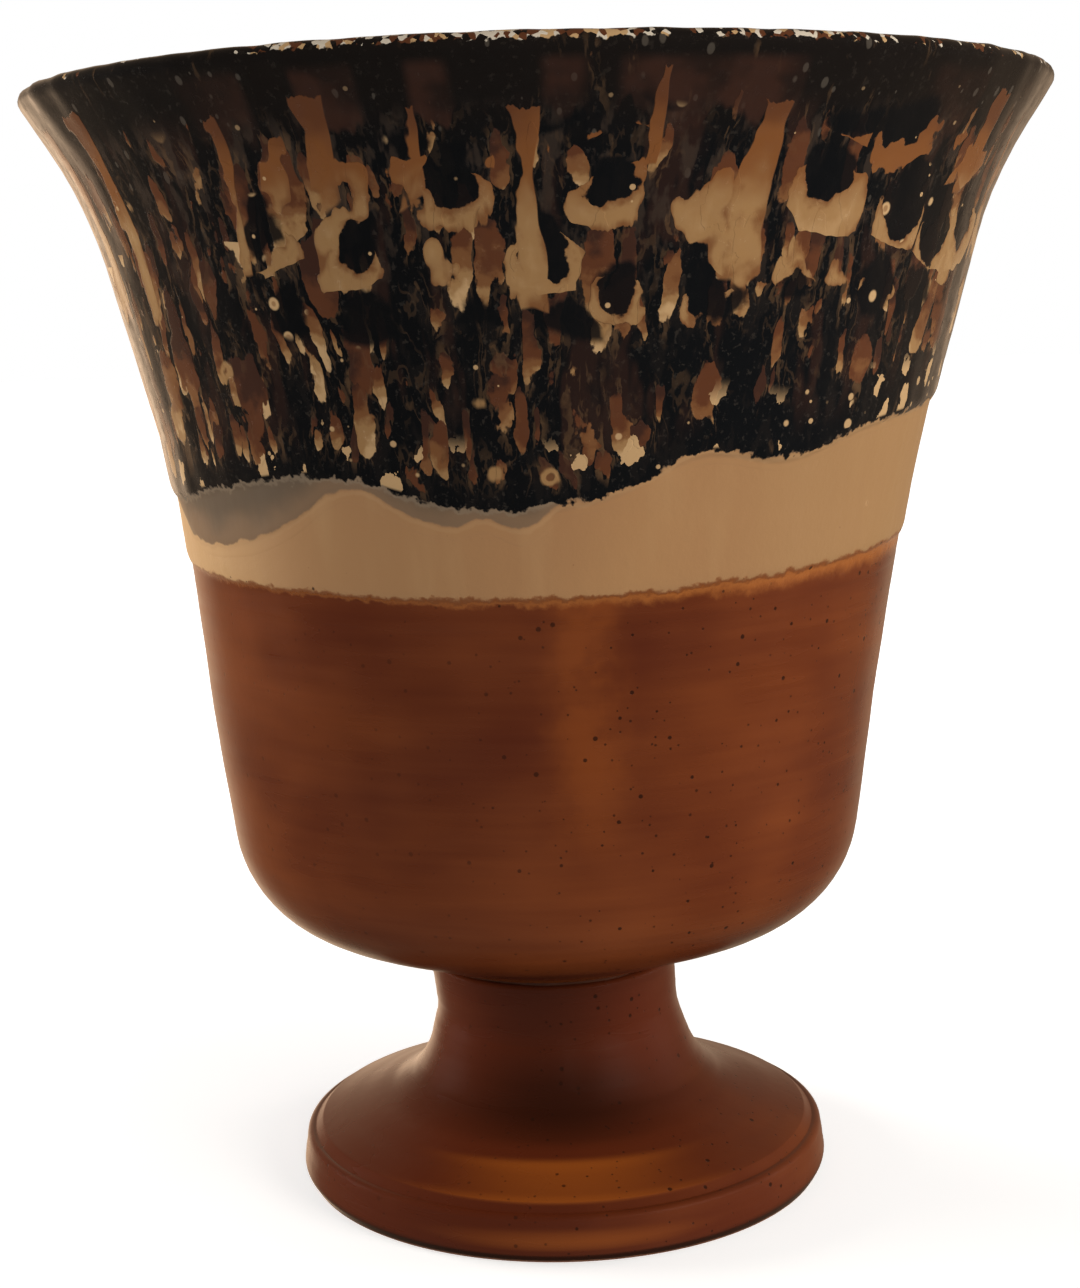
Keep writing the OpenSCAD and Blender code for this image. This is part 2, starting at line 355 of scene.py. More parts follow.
# Iron-red glaze: deep red-brown to amber in soft level bands, with dark iron specks. The value for
# breaking is positive on an edge, where the glaze runs thin and orange, and negative in a hollow.
# On the foot and just above the joint it also carries painted light, lighter orange, and painted
# shade, pooled brown.
IRON_RED = (0.10, 0.0195, 0.0068)
AMBER = (0.205, 0.048, 0.0088)
THIN_AND_LIT_ORANGE = (0.285, 0.072, 0.011)
POOLED_AND_SHADED_BROWN = (0.03, 0.0075, 0.0036)
IRON_SPECK = (0.022, 0.0075, 0.004)
SURFACE = {"Color": "Color", "Roughness": "Float", "Height": "Float"}
GLAZE_SHINE, GLAZE_RELIEF = 0.4, 0.045 * MM
amber, amber_in, amber_out = node_group("Iron-red glaze", {"Break and light": "Float", "Warmth": "Float"}, SURFACE)
point = use(amber, wheel)["Point"]
bands = noise(stretched(point, 0.35, 0.35, 1), 4.5, 3, 0.55)
clouds = noise(point, 9)
lines = noise(stretched(point, 0.06, 0.06, 1), 0.55, 2, 0.6)
warm = plus(times(bands, 0.55), times(clouds, 0.6), times(lines, 0.16), amber_in["Warmth"])
hue = tint(ramp(warm, 0.42, 0.92), IRON_RED, AMBER)
hue = graded(amber_in["Break and light"], hue, (THIN_AND_LIT_ORANGE, 0.12, 0.8), (POOLED_AND_SHADED_BROWN, -0.08, -0.85))
coarse = dotted(point, 1.5, 0.21, 0.8)
fine = dotted(point, 0.85, 0.13, 0.8)
speck = most(times(coarse["Mask"], 0.85), times(fine["Mask"], 0.7))
speck = times(speck, ramp(split(point)[0], -12, 6, 0.4, 1.0))
hue = tint(speck, hue, IRON_SPECK)
peel = noise(point, 0.7)
give(
    amber_out,
    Color=hue,
    Roughness=ramp(plus(clouds, times(lines, 0.3)), 0.3, 0.95, 0.22, 0.36),
    Height=plus(times(lines, 0.7), times(peel, 0.35), times(speck, -0.5)),
)

BARE_CLAY = (0.30, 0.12, 0.052)
BARE_CLAY_DARK = (0.16, 0.058, 0.026)
FOOT_RELIEF = 0.05 * MM


def material(name, shine=0.5):
    """A new material and its tree, with the shader's own node."""
    made = bpy.data.materials.new(name)
    made.use_nodes = True
    shader = made.node_tree.nodes["Principled BSDF"]
    shader.inputs["Specular IOR Level"].default_value = shine
    return made, made.node_tree, shader


def finish(tree, shader, color, roughness, height, relief):
    """Colour, roughness and a relief of a depth in metres, on the shader."""
    tree.links.new(color, shader.inputs["Base Color"])
    tree.links.new(roughness, shader.inputs["Roughness"])
    bump = put(tree, "Bump", {"Height": height, "Distance": relief, "Strength": 1.0})
    tree.links.new(bump.outputs[0], shader.inputs["Normal"])


def mark(tree, name):
    return put(tree, "Attribute", attribute_name=name).outputs["Fac"]


foot_glaze, tree, shader = material("foot_glaze", GLAZE_SHINE)
point = use(tree, wheel)["Point"]
glaze = use(tree, amber, {"Break and light": mark(tree, "break_and_light"), "Warmth": -0.2})
grain = noise(point, 0.35, 4, 0.65)
bare = tint(grain, BARE_CLAY_DARK, BARE_CLAY)
wiped = ramp(plus(mark(tree, "bare"), centred(noise(point, 1.2), 0.6)), 0.4, 0.6)
roughness = maths("ADD", glaze["Roughness"], times(wiped, 0.5), clamp=True)
hue = tint(wiped, glaze["Color"], bare)
finish(tree, shader, hue, roughness, plus(glaze["Height"], times(grain, wiped)), FOOT_RELIEF)

roll_h = RIDGE_Z - RIDGE_STEP
foot_outside = outline([
    (RING_OUT_R, 0, 0),
    (FOOT_R, ROLL_LOW, ROLL_LOW),
    (FOOT_R - ROLL_LEAN, roll_h, ROLL_ROUND),
    (FOOT_R - ROLL_W, roll_h, GROOVE_ROUND),
    (RIDGE_R, RIDGE_Z, RIDGE_ROUND),
    COVE,
    (STEM_WAIST_R, STEM_TOP_Z - STEM_WAIST_DROP, STEM_WAIST_DROP),
    (STEM_TOP_R, STEM_TOP_Z, STEM_EDGE_ROUND),
    (PIPE_HOLE_R, STEM_TOP_Z, 0),
], FOOT_STEP)
foot_under = outline([
    (PIPE_HOLE_R, STEM_TOP_Z, 0),
    (PIPE_HOLE_R, HOLLOW_TOP[1], 0),
    HOLLOW_TOP,
    HOLLOW_EDGE,
    (RING_IN_R, 0, RING_ROUND),
    (RING_OUT_R, 0, 0),
], FOOT_STEP)
foot_path = np.vstack([foot_outside, foot_under[1:-1]])


def turning_marks(angle, z):
    """Fine rings left by the turning tool, and a little out of round above the foot's edge."""
    mm = z / MM
    rings = 0.01 * np.sin(mm * 5.2 + angle) + 0.012 * np.sin(mm * 2.1 - angle + 1.3)
    oval = 0.1 * np.cos(2 * angle + 0.7) + 0.05 * np.cos(3 * angle - 0.4)
    return (rings + oval * np.clip(mm / 6, 0, 1)) * MM


foot_rings = turned(foot_path, turning_marks)
foot_rings[..., 2] = np.maximum(foot_rings[..., 2], pedestal_low[2])
under = (foot_path[:, 1] < BARE_BELOW_Z) | (np.arange(len(foot_path)) >= len(foot_outside))


def glaze_and_light(table, at):
    """How the glaze breaks, with painted light and shade, at places along a table, all round the foot."""
    place, in_front, elsewhere = zip(*table)
    front = np.clip(-np.sin(angles(AROUND)), 0, 1) ** FRONT_POWER
    in_front = np.interp(at / MM, place, in_front)[:, None]
    elsewhere = np.interp(at / MM, place, elsewhere)[:, None]
    return in_front * front + elsewhere * (1 - front)


# the foot's colour values: glaze breaking together with painted light and shade
on_slope = glaze_and_light(SLOPE_GLAZE_AND_LIGHT, foot_path[:, 0])
on_roll = glaze_and_light(ROLL_GLAZE_AND_LIGHT, foot_path[:, 1])
foot_glaze_and_light = np.where((foot_path[:, 0] < RIDGE_R)[:, None], on_slope, on_roll)
foot_glaze_and_light = np.where(under[:, None], UNDER_BREAK, foot_glaze_and_light)
pedestal = skin("pedestal_turned", foot_rings, {"break_and_light": foot_glaze_and_light, "bare": under[:, None]})
pedestal.data.materials.append(foot_glaze)
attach(pedestal, "root")
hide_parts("pedestal")


# Slip between stem and bowl. A thin layer of liquid clay glues the two, a little in from the
# edge, and fires to a dark line under the bowl. The line's dark colour is partly painted shade,
# where the bowl's edge overhangs the stem.

slip_low, slip_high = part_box("stem_slip")
# the slip's dark colour stands partly for painted shade under the bowl's edge
SLIP_DARK = (0.045, 0.013, 0.006)
SLIP_LIGHT = (0.11, 0.034, 0.014)
SLIP_SINK, SLIP_UNEVEN, SLIP_STEP = 0.3 * MM, 0.12 * MM, 0.25 * MM
SLIP_RELIEF = 0.12 * MM

fired_slip, tree, shader = material("fired_slip")
smear = noise(stretched(use(tree, wheel)["Point"], 0.4, 0.4, 1), 0.8, 3, 0.6)
hue = tint(smear, SLIP_DARK, SLIP_LIGHT)
finish(tree, shader, hue, ramp(smear, 0.2, 0.8, 0.4, 0.62), smear, SLIP_RELIEF)

slip_r = slip_high[0]
slip_path = outline([
    (slip_r, slip_low[2] - SLIP_SINK, 0),
    (slip_r, slip_high[2] + SLIP_SINK, 0),
    (PIPE_HOLE_R, slip_high[2] + SLIP_SINK, 0),
    (PIPE_HOLE_R, slip_low[2] - SLIP_SINK, 0),
    (slip_r, slip_low[2] - SLIP_SINK, 0),
], SLIP_STEP)[:-1]


def squeezed(angle, z):
    """A layer pressed out unevenly under the bowl."""
    return SLIP_UNEVEN * np.sin(7 * angle) * np.sin(3 * angle + 1)


stem_slip = skin("stem_slip_layer", turned(slip_path, squeezed))
stem_slip.data.materials.append(fired_slip)
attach(stem_slip, "root")
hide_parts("stem_slip")


# Bowl. Thrown on the wheel in red clay: a rounded heel, a wall that leans out and flares, and a
# lip turned out further. The thrower's fingers leave rings, plain inside and smoothed away
# outside. A line cut round the inside shows how far it may be filled.

bowl_low, bowl_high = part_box("bowl")
_, pipe_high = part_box("standpipe")
RIM_Z, RIM_R, JOINT_Z = bowl_high[2], bowl_high[0], bowl_low[2]
WALL_LOW = 4.5 * MM
JOINT_R = 11.75 * MM
HEEL = (28.1 * MM, JOINT_Z + 6.2 * MM, 11 * MM)
FLARE = (33.2 * MM, RIM_Z - 31.5 * MM, 135 * MM)
LIP_T = 2.6 * MM
LIP_LEAN = math.radians(33)
LIP_LEN, LIP_TURN = 9.5 * MM, 35 * MM
LIP_EDGE, LIP_INNER_EDGE = 0.1 * MM, 1.6 * MM
LIP_OVERHANG = 0.34 * MM
LIP_TOP = 1.0 * MM
FLOOR_Z = JOINT_Z + 6.5 * MM
FLOOR_R, FLOOR_ROUND, FLOOR_STEP = 15.1 * MM, 2 * MM, 0.7 * MM
FILL_Z = pipe_high[2]
LINE_R, LINE_POINTS = 0.5 * MM, 9
WALL_STEP = 0.54 * MM
# How strongly, and how far up, the bowl is painted lighter orange just above the joint: painted
# light thrown up from the foot
JOINT_BOUNCE_LIGHT, JOINT_BOUNCE_H = 0.8, 3.5 * MM
OUTER_BREAK, BREAK_REACH = 0.35, 0.5 * MM

lip_run = LIP_LEN * np.array([math.sin(LIP_LEAN), math.cos(LIP_LEAN)])
lip_outer = np.array([RIM_R + LIP_OVERHANG, RIM_Z])
lip_inner = lip_outer - np.array([LIP_T / math.cos(LIP_LEAN), 0])
lip_foot = lip_outer - lip_run
outside = outline([(JOINT_R, JOINT_Z, 0), HEEL, FLARE, (*lip_foot, LIP_TURN), (*lip_outer, 0)], WALL_STEP)
thickness = np.interp(outside[:, 1], [HEEL[1], lip_foot[1]], [WALL_LOW, LIP_T])
inside = outside - outward(outside, closed=False) * thickness[:, None]
inside = inside[(inside[:, 0] > FLOOR_R) & (inside[:, 1] > FLOOR_Z) & (inside[:, 1] < RIM_Z - LIP_TOP)]
outside = outside[outside[:, 1] < RIM_Z - LIP_TOP]
lip = outline(
    [lip_foot, (*lip_outer, LIP_EDGE), (*lip_inner, LIP_INNER_EDGE), lip_inner - lip_run], WALL_STEP / 2
)
lip = lip[lip[:, 1] > RIM_Z - 0.9 * LIP_TOP]
near_line = np.linspace(FILL_Z - LINE_R, FILL_Z + LINE_R, LINE_POINTS)
with_line = np.stack([np.interp(near_line, inside[:, 1], inside[:, 0]), near_line], axis=1)
with_line[:, 0] += np.sqrt(np.maximum(LINE_R**2 - (near_line - FILL_Z) ** 2, 0))
away = np.abs(inside[:, 1] - FILL_Z) > LINE_R * 1.2
below_line, above_line = away & (inside[:, 1] < FILL_Z), away & (inside[:, 1] > FILL_Z)
inside = np.vstack([inside[below_line], with_line, inside[above_line]])
floor = outline([
    (*inside[0], 0),
    (FLOOR_R, FLOOR_Z, FLOOR_ROUND),
    (PIPE_HOLE_R, FLOOR_Z, 0),
    (PIPE_HOLE_R, JOINT_Z, 0),
    (JOINT_R, JOINT_Z, 0),
], FLOOR_STEP)
bowl_path = np.vstack([outside, lip, inside[::-1], floor[1:-1]])
is_inside = np.arange(len(bowl_path)) > len(outside) + len(lip) / 2


def throwing(angle, z):
    """The outside, left by a rib held against the turning wall."""
    mm = z / MM
    rings = 0.006 * np.sin(mm * 3.4 + angle) * (0.6 + 0.4 * np.sin(mm * 0.45))
    waves = 0.012 * np.sin(mm * 0.9 - angle)
    oval = 0.12 * np.cos(2 * angle - 0.5 + mm * 0.02) + 0.06 * np.cos(3 * angle + 1.9)
    dents = 0.025 * np.sin(5 * angle + mm * 0.12) * np.sin(mm * 0.16 + 2 * angle)
    up_wall, below_rim = np.clip((mm - 22) / 20, 0, 1), np.clip((RIM_Z - z) / (2 * MM), 0, 1)
    return (rings + waves + (oval + dents) * up_wall) * MM * below_rim


def finger_rings(angle, z):
    """The inside, with the spiral of the thrower's fingers between the floor and the lip."""
    mm = z / MM
    spiral = 0.22 * np.sin(mm * 1.45 + angle) + 0.07 * np.sin(mm * 3.9 + angle)
    return spiral * np.clip((mm - 29) / 6, 0, 1) * np.clip((95 - mm) / 10, 0, 1) * MM


def breaking(path, reach):
    """How far a closed path bends outwards near each point, from -1 in a hollow to 1 on an edge."""
    along = np.roll(path, -1, axis=0) - path
    length = norm(along, axis=1)
    heading = np.unwrap(np.arctan2(along[:, 1], along[:, 0]))
    bend = (heading - np.roll(heading, 1) + math.pi) % (2 * math.pi) - math.pi
    place = np.cumsum(length)
    gap = np.abs(place[:, None] - place[None, :])
    near = np.exp(-((np.minimum(gap, place[-1] - gap) / reach) ** 2))
    return np.tanh(near @ bend * 1.4)


bowl_rings = np.where(
    is_inside[:, None, None], turned(bowl_path, finger_rings), turned(bowl_path, throwing)
)

# One paler band down the front of the bowl, broken by dark rings.
BAND_AT, BAND_HALF, BAND_SWAY = 3.2, 5.0, 5.0
pale_band, _, pale_band_out = node_group("Paler band", {}, {"Warmth": "Float"})
point, around, height = use(pale_band, wheel)
at = split(around)
sway = centred(noise(point, 2.2, 3, 0.6), BAND_SWAY)
across = maths("ABSOLUTE", plus(at[0], -BAND_AT, sway))
length = times(ramp(height, 33, 47), less(at[1], 0))
length = times(length, ramp(noise(point, 2.0, 3, 0.6), 0.3, 0.6, 0.4, 1))
give(pale_band_out, Warmth=times(ramp(across, BAND_HALF, 0.0, 0, 0.3), length))

amber_glaze, tree, shader = material("amber_glaze", GLAZE_SHINE)
glaze = use(tree, amber, {"Break and light": mark(tree, "break_and_light"), "Warmth": use(tree, pale_band)["Warmth"]})
finish(tree, shader, *glaze, GLAZE_RELIEF)

# painted light: lighter orange on the bowl just above the joint, as thrown up from the foot
near_joint = np.clip(1 - (bowl_path[:, 1] - JOINT_Z) / JOINT_BOUNCE_H, 0, 1)
near_joint *= bowl_path[:, 0] > JOINT_R - 0.1 * MM
break_and_joint_light = np.where(is_inside, 1, OUTER_BREAK) * breaking(bowl_path, BREAK_REACH)
break_and_joint_light += JOINT_BOUNCE_LIGHT * near_joint
bowl = skin("bowl_thrown", bowl_rings, {"break_and_light": break_and_joint_light[:, None]})
bowl.data.materials.append(amber_glaze)
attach(bowl, "root")
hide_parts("bowl")


# Standpipe. A rolled clay tube that runs from the foot up through the floor, luted there with a
# fillet of slip. It is the drain, so its bore stays bare of glaze.

CLAY_RELIEF = 0.06 * MM
bare_clay, tree, shader = material("bare_clay")
point = use(tree, wheel)["Point"]
grain = noise(point, 0.35, 4, 0.65)
streak = noise(stretched(point, 1, 1, 0.15), 0.8)
body = tint(ramp(plus(grain, streak), 0.7, 1.3), BARE_CLAY_DARK, BARE_CLAY)
finish(tree, shader, body, ramp(grain, 0.2, 0.8, 0.7, 0.9), grain, CLAY_RELIEF)
for node, coat in (("standpipe", bare_clay), ("standpipe_slip", fired_slip), ("column_slip", fired_slip)):
    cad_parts[node].data.materials.clear()
    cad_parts[node].data.materials.append(coat)


# Siphon column. A hollow clay thimble is set over the standpipe and luted to the floor. One hole
# at its base lets the drink in. It carries the same glaze as the inside of the bowl.

column_low, column_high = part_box("siphon_column")
COLUMN_BASE_R, COLUMN_TOP_R = column_high[0], 9.7 * MM
COLUMN_WALL = 3 * MM
CROWN_ROUND = 7.5 * MM
PORT_R, PORT_SILL = 2.5 * MM, 1 * MM
PIN_R = 0.2 * MM
COLUMN_STEP, COLUMN_AROUND = 0.5 * MM, 128
PORT_SIDES, PORT_EDGE_ANGLE = 48, math.radians(40)

column_path = outline([
    (PIN_R, column_high[2] - COLUMN_WALL, 0),
    (COLUMN_TOP_R - COLUMN_WALL, column_high[2] - COLUMN_WALL, CROWN_ROUND - COLUMN_WALL),
    (COLUMN_BASE_R - COLUMN_WALL, column_low[2], 0),
    (COLUMN_BASE_R, column_low[2], 0),
    (COLUMN_TOP_R, column_high[2], CROWN_ROUND),
    (PIN_R, column_high[2], 0),
], COLUMN_STEP)


def pulled(angle, z):
    """A column pulled up by hand: faint rings, a few flats and a slight twist."""
    rings, flats = 0.1 * np.sin(z / MM * 1.7 + angle), 0.12 * np.cos(3 * angle + z / MM * 0.09)
    return (rings + flats) * MM * np.clip((z - column_low[2]) / (6 * MM), 0, 1)


column_rings = turned(column_path, pulled, closed=False, count=COLUMN_AROUND)
column = skin("siphon_column_pulled", column_rings, closed=False)
drill_mesh = bpy.data.meshes.new("port_drill")
drill = bmesh.new()
bmesh.ops.create_cone(
    drill, cap_ends=True, segments=PORT_SIDES, radius1=PORT_R, radius2=PORT_R, depth=COLUMN_BASE_R
)
port_place = Matrix.Translation((0, -COLUMN_BASE_R, column_low[2] + PORT_SILL + PORT_R))
port_place = port_place @ Matrix.Rotation(math.pi / 2, 4, "X")
bmesh.ops.transform(drill, matrix=port_place, verts=drill.verts)
drill.to_mesh(drill_mesh)
drill.free()
drill = stood("port_drill", drill_mesh)
cut = column.modifiers.new("port", "BOOLEAN")
cut.object, cut.operation, cut.solver = drill, "DIFFERENCE", "EXACT"
drilled = bpy.data.meshes.new_from_object(column.evaluated_get(bpy.context.evaluated_depsgraph_get()))
column.modifiers.clear()
column.data = drilled
drilled.set_sharp_from_angle(angle=PORT_EDGE_ANGLE)
bpy.data.objects.remove(drill)
drilled.materials.clear()
column_glaze, tree, shader = material("column_glaze", GLAZE_SHINE)
glaze = use(tree, amber, {"Break and light": 0.0, "Warmth": 0.08})
finish(tree, shader, *glaze, GLAZE_RELIEF)
column.data.materials.append(column_glaze)
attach(column, "root")
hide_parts("siphon_column")


# Cream dip. The cup is held upside down and dipped in a cream glaze almost to its middle. The
# glaze ends in a wavy line, where it thins over the red one to a rusty halo with dark specks.
# The cream also carries painted light, paler towards both flanks and most on the left, and
# painted shade, darker on the right.

_, cream_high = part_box("cream_coat")
CREAM_T = cream_high[0] - RIM_R
CREAM_INSIDE = 10 * MM
COAT_AROUND = 480
COAT_SINK = 0.12 * MM
CREAM_ROWS, BACK_ROWS, CROWDED = 150, 16, 1.15
CREAM_REACH, CREAM_ROUND = 0.3 * MM, 1.2 * MM
GLAZE_LIFT, CREST_TOLERANCE = 0.7 * MM, 0.02 * MM
HALO_MAX = 2.8 * MM
FILM_T, FILM_SINK, FILM_EDGE = 0.014 * MM, -0.03 * MM, 0.25 * MM
# Height of the cream's edge, and width of its halo, at degrees to the right of the front
CREAM_EDGE = [
    (-90, 59.8), (-60, 59.1), (-30, 58.6), (0, 58.4), (30, 59.2),
    (60, 60.2), (90, 60.8), (135, 61.8), (180, 62.0), (225, 61.2),
]
HALO_WIDTH = [(-90, 0.5), (-40, 0.5), (0, 0.9), (30, 1.5), (60, 2.0), (90, 2.1), (150, 1.2), (210, 0.8)]


def distance_along(path):
    return np.concatenate([[0], np.cumsum(norm(np.diff(path, axis=0), axis=1))])


# The coats' angles, their path on the clay, and one lifted off it on which their rows are even
coat_angle = angles(COAT_AROUND)
coat_path = np.vstack([outside, lip, inside[::-1]])
coat_s = distance_along(coat_path)
coat_normal = outward(coat_path, closed=False)
glazed_path = coat_path + GLAZE_LIFT * coat_normal
glazed_s = distance_along(glazed_path)
S_LIP = coat_s[len(outside) + np.argmax(lip[:, 1] > RIM_Z - CREST_TOLERANCE)]


def s_at(z):
    """Distance along the coats' path at a height on the outside."""
    outer = coat_s <= S_LIP
    return np.interp(z, coat_path[outer, 1], coat_s[outer])


def round_the_cup(points):
    """Smooth values at the coats' angles from a few at degrees to the right of the front."""
    at, value = np.array(points, float).T
    at, value = np.concatenate([at - 360, at, at + 360]), np.tile(value, 3)
    slope = np.gradient(value, at)
    degrees = (np.degrees(coat_angle) + 90 + 180) % 360 - 180
    k = np.searchsorted(at, degrees, side="right") - 1
    span = at[k + 1] - at[k]
    t = (degrees - at[k]) / span
    a, b = value[k], value[k + 1]
    return (
        a * (1 + 2 * t) * (1 - t) ** 2 + b * t * t * (3 - 2 * t)
        + span * (slope[k] * t * (1 - t) ** 2 - slope[k + 1] * t * t * (1 - t))
    )


def dipped(name, low_s, depth_inside, thickness_at, base, rows):
    """A coat from low_s along the path, which changes with the angle, to a depth inside the lip.

    Gives the piece, and how far along the path each point lies in millimetres."""
    within = coat_s > S_LIP
    high_s = np.interp(depth_inside - RIM_Z, -coat_path[within, 1], coat_s[within])
    share = np.linspace(0, 1, rows)[:, None] ** CROWDED
    low, high = np.interp(low_s, coat_s, glazed_s), np.interp(high_s, coat_s, glazed_s)
    s = np.interp(low + (high - low) * share, glazed_s, coat_s)
    both = np.vstack([s, s[:: -max(1, rows // BACK_ROWS)]])
    along_path = (*coat_path.T, *coat_normal.T)
    r, z, out_r, out_z = (np.interp(both, coat_s, values) for values in along_path)
    wide = np.ones_like(both) * coat_angle
    off = np.where(both > S_LIP, 0, throwing(wide, z)) + base
    off += np.where(np.arange(len(both))[:, None] < rows, thickness_at(both, wide), -COAT_SINK)
    return skin(name, placed(r + out_r * off, z + out_z * off, wide)), both / MM


def rounded_edge(distance, width):
    """From 0 at a coat's edge to 1 at a distance of its rounded margin's width."""
    t = np.clip(distance / width, 0, 1)
    return np.sqrt(1 - (1 - t) ** 2)


def on_film(coat, from_edge):
    """A coat's thickness, with a film that goes on past its edge to carry a halo or a ragged line."""
    film = FILM_SINK + (FILM_T - FILM_SINK) * np.clip(from_edge / FILM_EDGE, 0, 1)
    return np.where(coat > 0, np.maximum(coat, film), film)


def blend(share, a, b):
    """Number a turning to number b."""
    return put(share.id_data, "Mix", {0: share, 2: a, 3: b}, data_type="FLOAT").outputs[0]


CREAM = (0.40, 0.215, 0.09)
CREAM_PINK = (0.365, 0.187, 0.08)
CREAM_PALE = (0.45, 0.265, 0.122)
CREAM_LIT_LEFT = (0.54, 0.325, 0.15)
CREAM_SHADED_RIGHT = (0.32, 0.18, 0.074)
HALO_ORANGE = (0.33, 0.105, 0.022)
HALO_BROWN = (0.12, 0.03, 0.009)
cream, _, cream_out = node_group("Cream glaze", {}, SURFACE)
point, around, _ = use(cream, wheel)
drift_and_flank_light = noise(stretched(around, 1, 1, 0.6), 11)
runs = noise(stretched(around, 1, 1, 0.25), 2.2, 3, 0.55)
peel = noise(point, 0.6)
side = split(around)[0]
# painted light: the cream turns paler towards both flanks
drift_and_flank_light = plus(drift_and_flank_light, times(maths("ABSOLUTE", side), 0.01))
hue = tint(ramp(drift_and_flank_light, 0.42, 0.85), CREAM_PINK, CREAM)
hue = tint(ramp(runs, 0.45, 0.75, 0, 0.45), hue, CREAM_PALE)
# painted light on the left flank and painted shade on the right
hue = graded(side, hue, (CREAM_LIT_LEFT, -20, -34), (CREAM_SHADED_RIGHT, 6, 26, 0, 0.7))
pits = dotted(point, 6.5, 0.3, 0.3)
dust = dotted(point, 1.6, 0.09, 0.3)
hue = tint(times(pits["Mask"], 0.5), hue, CREAM_PALE)
hue = tint(times(dust["Mask"], 0.35), hue, HALO_BROWN)
give(
    cream_out,
    Color=hue,
    Roughness=ramp(runs, 0.3, 0.75, 0.5, 0.38),
    Height=plus(times(runs, 1.2), times(peel, 0.25), times(pits["Middle"], -1.0)),
)

cream_s = s_at(round_the_cup(CREAM_EDGE) * MM)


def cream_thickness(s, angle):
    above = s - cream_s
    return on_film(CREAM_T * rounded_edge(above + CREAM_REACH, CREAM_ROUND), above + HALO_MAX)


cream_coat, along = dipped(
    "cream_coat_dipped", cream_s - HALO_MAX, CREAM_INSIDE, cream_thickness, 0.0, CREAM_ROWS
)
add_mark(cream_coat.data, "edge", along - cream_s / MM)
add_mark(cream_coat.data, "halo", np.broadcast_to(round_the_cup(HALO_WIDTH), along.shape))

cream_glaze, tree, shader = material("cream_glaze", GLAZE_SHINE)
point = use(tree, wheel)["Point"]
top = use(tree, cream)
under_it = use(tree, amber, {"Break and light": 0.0, "Warmth": use(tree, pale_band)["Warmth"]})
crumble = noise(point, 0.55, 4, 0.65)
waver = noise(point, 2.4)
edge = plus(mark(tree, "edge"), centred(crumble, 1.5), centred(waver, 1.0))
halo = ramp(over(times(edge, -1), mark(tree, "halo")), 1.0, 0.15)
hue = tint(halo, under_it["Color"], HALO_ORANGE)
hue = tint(ramp(edge, -0.15, 0.35), hue, top["Color"])
line = times(ramp(edge, -0.35, -0.1), ramp(edge, 0.3, 0.02))
hue = tint(times(line, 0.55), hue, HALO_BROWN)
near_edge = times(ramp(edge, -1.6, -0.4), ramp(edge, 1.2, 0.2))
rust = dotted(point, 1.5, 0.2, 0.5)
hue = tint(times(rust["Mask"], near_edge, 0.8), hue, IRON_SPECK)
on_cream = ramp(edge, -0.2, 0.4)
roughness = blend(on_cream, under_it["Roughness"], top["Roughness"])
bumps = plus(blend(on_cream, under_it["Height"], top["Height"]), times(crumble, halo))
finish(tree, shader, hue, roughness, bumps, GLAZE_RELIEF)
cream_coat.data.materials.append(cream_glaze)
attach(cream_coat, "root")
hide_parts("cream_coat")


# Mottled dip. A second dip, held at a slant, in a near-black glaze that reacts with the cream
# under it: tan pools near the top, rust and caramel runs down the wall, and a few rings where
# bubbles burst. It wraps the lip, and thins to a grey veil in places along its lower edge.

_, mottled_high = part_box("mottled_coat")
MOTTLED_T = mottled_high[0] - cream_high[0]
MOTTLED_INSIDE = 7 * MM
MOTTLED_ROWS = 170
RAGGED = 1.3 * MM
BLACK_REACH, BLACK_ROUND = 0.4 * MM, 1.3 * MM
VEIL_T, VEIL_ROUND = 0.1 * MM, 0.8 * MM
# Height of the black glaze's edge, and depth of the veil below it, at degrees to the right of the front
BLACK_EDGE = [
    (-90, 67.0), (-72, 65.6), (-50, 67.3), (-28, 68.2), (-15, 66.3), (-2, 65.7), (9, 66.8), (20, 69.6),
    (34, 68.9), (48, 71.0), (68, 72.2), (90, 73.0), (115, 72.0), (135, 73.6), (160, 71.2), (185, 72.0),
    (205, 69.4), (230, 69.8), (250, 67.6),
]
VEIL_DEPTH = [
    (-85, 0.1), (-76, 0.7), (-66, 3.4), (-54, 5.0), (-38, 3.9), (-28, 1.0), (-20, 1.6), (-13, 1.8),
    (-8, 1.0), (-3, 1.9), (2, 0.1), (60, 0.0), (120, 0.1), (135, 2.4), (150, 3.1), (165, 1.4), (180, 0.1),
    (215, 0.0), (228, 1.5), (240, 0.0),
]

black_s = s_at(round_the_cup(BLACK_EDGE) * MM)
veil = np.maximum(round_the_cup(VEIL_DEPTH), 0) * MM


def mottled_thickness(s, angle):
    above, mm = s - black_s, s / MM
    runs = 0.03 * np.sin(31 * angle + np.sin(7 * angle)) * np.sin(mm * 0.35 + 3 * angle)
    runs += 0.02 * np.sin(53 * angle + mm * 0.2)
    on_lip = np.exp(-(((s - S_LIP) / (2 * MM)) ** 2))
    lumps = 0.02 * np.sin(67 * angle) * np.sin(23 * angle + 1) * on_lip
    full = (MOTTLED_T + (runs + lumps) * MM) * rounded_edge(above + BLACK_REACH, BLACK_ROUND)
    coat = np.maximum(full, VEIL_T * rounded_edge(above + veil, VEIL_ROUND))
    return on_film(coat, above + veil + RAGGED)


